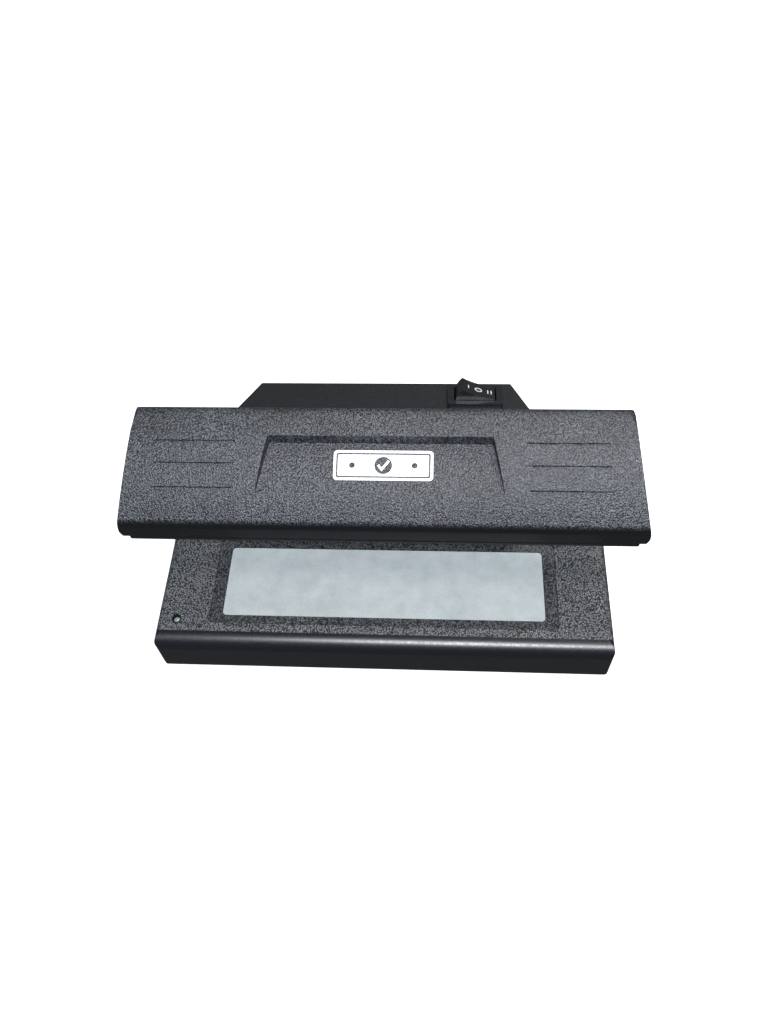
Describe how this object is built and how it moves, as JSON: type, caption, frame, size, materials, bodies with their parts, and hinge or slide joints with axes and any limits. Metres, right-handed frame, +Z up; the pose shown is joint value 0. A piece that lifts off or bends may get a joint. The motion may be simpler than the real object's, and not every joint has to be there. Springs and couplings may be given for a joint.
{
  "type": "counterfeit bill detector",
  "caption": "Desk-top banknote tester: flat base with lit window, rear column and a hood holding an ultraviolet tube; three-position rocker switch on the back panel.",
  "frame": {"origin": "under the middle of the base, on the surface the feet stand on", "axes": "+X to the user's right along the hood, +Y from the user to the back, +Z up"},
  "size_m": [0.1994, 0.1, 0.0867],
  "materials": {
    "black_abs": "spark-eroded grain",
    "white_plastic": "satin",
    "opal_acrylic": "opal, satin",
    "black_rubber": "matte",
    "zinc_steel": "zinc plated",
    "nickel_brass": "nickel plated",
    "brass_strip": "bright",
    "aluminium_sheet": "bright",
    "aluminium_cap": "satin",
    "violet_glass": "clear violet",
    "clear_epoxy": "clear",
    "nylon": "satin",
    "switch_nylon": "semi-gloss",
    "board_laminate": "satin",
    "white_board": "satin",
    "led_package": "gloss",
    "ferrite": "dull",
    "wound_tape": "satin",
    "component_sleeve": "gloss",
    "moulding_compound": "matte",
    "fuse_glass": "clear",
    "wire_insulation": "satin"
  },
  "bodies": {
    "root": {"base_shell": "black_abs", "bottom_plate": "black_abs", "bottom_screws": "zinc_steel", "rubber_feet": "black_rubber", "window_diffuser": "opal_acrylic", "light_box": "white_plastic", "led_board": "white_board", "led_board_screws": "zinc_steel", "white_leds": "led_package", "indicator_ring": "switch_nylon", "indicator_led": "clear_epoxy", "hood_shell": "black_abs", "hood_liner": "black_abs", "hood_screws": "zinc_steel", "reflector": "aluminium_sheet", "lampholder_left": "nylon", "lampholder_right": "nylon", "lampholder_contacts": "brass_strip", "lampholder_screws": "zinc_steel", "column_front": "black_abs", "column_screws": "zinc_steel", "rear_housing": "black_abs", "rear_screws": "zinc_steel", "switch_body": "switch_nylon", "switch_terminals": "nickel_brass", "inlet_body": "switch_nylon", "inlet_pins": "nickel_brass", "ballast_board": "board_laminate", "board_screws": "zinc_steel", "transformer_core": "ferrite", "transformer_coil": "wound_tape", "capacitors": "component_sleeve", "power_transistors": "moulding_compound", "fuse": "fuse_glass", "fuse_clips": "nickel_brass", "mains_leads": "wire_insulation", "led_leads": "wire_insulation", "lamp_leads": "wire_insulation"},
    "uv_lamp": {"uv_tube": "violet_glass", "tube_caps": "aluminium_cap", "tube_pins": "nickel_brass", "rotor_left": "nylon", "rotor_right": "nylon"},
    "rocker": {"rocker": "switch_nylon", "plunger": "nylon"},
    "contact_lever": {"contact_lever": "brass_strip"}
  },
  "joints": [
    {"name": "rocker_tilt", "type": "hinge", "parent": "root", "child": "rocker", "pos_m": [0.0353, 0.0302, 0.07848], "axis": [0, -0.9511, 0.309], "range_deg": [0, 36]},
    {"name": "contact_lever_tilt", "type": "hinge", "parent": "root", "child": "contact_lever", "pos_m": [0.0353, 0.0277, 0.07077], "axis": [0, -0.9511, 0.309], "range_deg": [-18, 0]},
    {"name": "lamp_twist", "type": "hinge", "parent": "root", "child": "uv_lamp", "pos_m": [0, -0.004, 0.062], "axis": [1, 0, 0], "range_deg": [0, 90]}
  ],
  "couplings": [
    {"joint": "contact_lever_tilt", "follows": "rocker_tilt", "ratio": -0.5}
  ]
}
